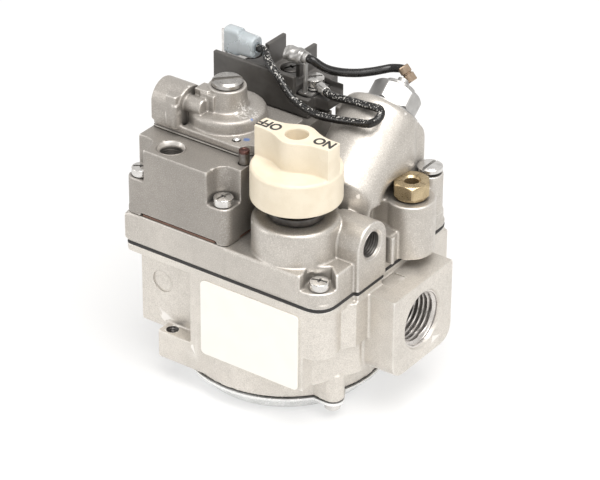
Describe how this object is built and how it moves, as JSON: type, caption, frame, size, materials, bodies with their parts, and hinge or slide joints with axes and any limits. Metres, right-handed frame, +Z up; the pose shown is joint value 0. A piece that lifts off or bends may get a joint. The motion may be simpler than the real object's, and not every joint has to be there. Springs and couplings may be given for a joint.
{
  "type": "combination gas control valve",
  "caption": "Cast combination gas valve: push-and-turn knob over a gas cock, servo regulator, tilted magnet safety tower, threaded inlet and outlet, wired terminal block.",
  "frame": {"origin": "centre of the bottom cover's resting face", "axes": "+X along the gas way from inlet to outlet, +Y to the back, +Z up"},
  "size_m": [0.1077, 0.0839, 0.1146],
  "materials": {
    "cast_aluminium": "satin die casting with fine grain",
    "dark_cast_aluminium": "darker satin die casting",
    "zinc_steel": "bright zinc plate",
    "spring_steel": "drawn wire",
    "brass": "machined, slightly stained",
    "bronze": "dull crimped bronze",
    "chrome": "bright nickel plate",
    "cream_plastic": "smooth moulded",
    "dark_plastic": "charcoal moulded",
    "nylon": "milky, slightly see-through",
    "black_rubber": "plain sheet",
    "fibre": "rubber-bound fibre sheet",
    "lead_jacket": "black wire insulation"
  },
  "bodies": {
    "valve_body": {"block_gasket": "fibre", "block_screw_1": "zinc_steel", "block_screw_2": "zinc_steel", "block_screw_3": "zinc_steel", "block_screw_4": "zinc_steel", "body_gasket": "black_rubber", "body_screw_1": "zinc_steel", "body_screw_2": "zinc_steel", "body_screw_3": "zinc_steel", "body_screw_4": "zinc_steel", "bottom_cover": "zinc_steel", "connector_lead": "lead_jacket", "cover_rivet_1": "zinc_steel", "cover_rivet_2": "zinc_steel", "flag_terminal": "zinc_steel", "lead_sleeve": "bronze", "lower_body": "cast_aluminium", "magnet_core": "spring_steel", "magnet_lead": "lead_jacket", "magnet_nut": "chrome", "magnet_washer": "zinc_steel", "main_diaphragm": "black_rubber", "main_valve_spring": "spring_steel", "pan_screw_1": "zinc_steel", "pan_screw_2": "zinc_steel", "pan_screw_3": "zinc_steel", "pan_screw_4": "zinc_steel", "pilot_ferrule": "brass", "pilot_nut": "brass", "pilot_oring": "black_rubber", "regulator_block": "dark_cast_aluminium", "regulator_cap": "zinc_steel", "regulator_cover": "dark_cast_aluminium", "regulator_diaphragm": "black_rubber", "regulator_spring": "spring_steel", "ring_terminal": "zinc_steel", "safety_spring": "spring_steel", "sealing_pin": "zinc_steel", "spade_connector": "nylon", "stem_bushing": "zinc_steel", "stem_spring": "spring_steel", "tab_terminal": "zinc_steel", "terminal_block": "dark_plastic", "terminal_mount_screw_1": "zinc_steel", "terminal_mount_screw_2": "zinc_steel", "terminal_screw": "zinc_steel", "upper_body": "cast_aluminium"},
    "cock": {"cock_plug": "brass"},
    "knob": {"control_knob": "cream_plastic", "knob_stem": "zinc_steel"},
    "safety_valve": {"safety_poppet": "black_rubber"},
    "main_poppet": {"diaphragm_plate": "zinc_steel", "main_valve": "black_rubber"},
    "servo": {"servo_plate": "zinc_steel"},
    "pilot_needle": {"pilot_screw": "zinc_steel"},
    "adjuster": {"adjusting_screw": "brass"}
  },
  "joints": [
    {"name": "cock_turn", "type": "hinge", "parent": "valve_body", "child": "cock", "pos_m": [0.0184, -0.0198, 0.0541], "axis": [0, 0, 1], "range_deg": [0, 180]},
    {"name": "knob_push", "type": "slide", "parent": "cock", "child": "knob", "axis": [0, 0, -1], "range_m": [0, 0.0045], "stiffness_N_per_m": 600, "springref_m": -0.003, "deforming": ["stem_spring"]},
    {"name": "safety_lift", "type": "slide", "parent": "valve_body", "child": "safety_valve", "axis": [0, 0.766, 0.6428], "range_m": [0, 0.0025], "deforming": ["safety_spring"]},
    {"name": "main_valve_lift", "type": "slide", "parent": "valve_body", "child": "main_poppet", "axis": [0, 0, 1], "range_m": [0, 0.003], "stiffness_N_per_m": 300, "springref_m": -0.005, "deforming": ["main_valve_spring"]},
    {"name": "servo_lift", "type": "slide", "parent": "valve_body", "child": "servo", "axis": [0, 0, 1], "range_m": [0, 0.0008], "stiffness_N_per_m": 400, "springref_m": -0.002, "deforming": ["regulator_spring"]},
    {"name": "pilot_screw_turn", "type": "hinge", "parent": "valve_body", "child": "pilot_needle", "pos_m": [0.04, 0.0302, 0.0794], "axis": [0, 0, 1], "continuous": true},
    {"name": "adjusting_turn", "type": "hinge", "parent": "valve_body", "child": "adjuster", "pos_m": [-0.022, -0.005, 0.1025], "axis": [0, 0, 1], "continuous": true}
  ],
  "couplings": [
    {"joint": "safety_lift", "follows": "knob_push", "ratio": 0.555}
  ]
}
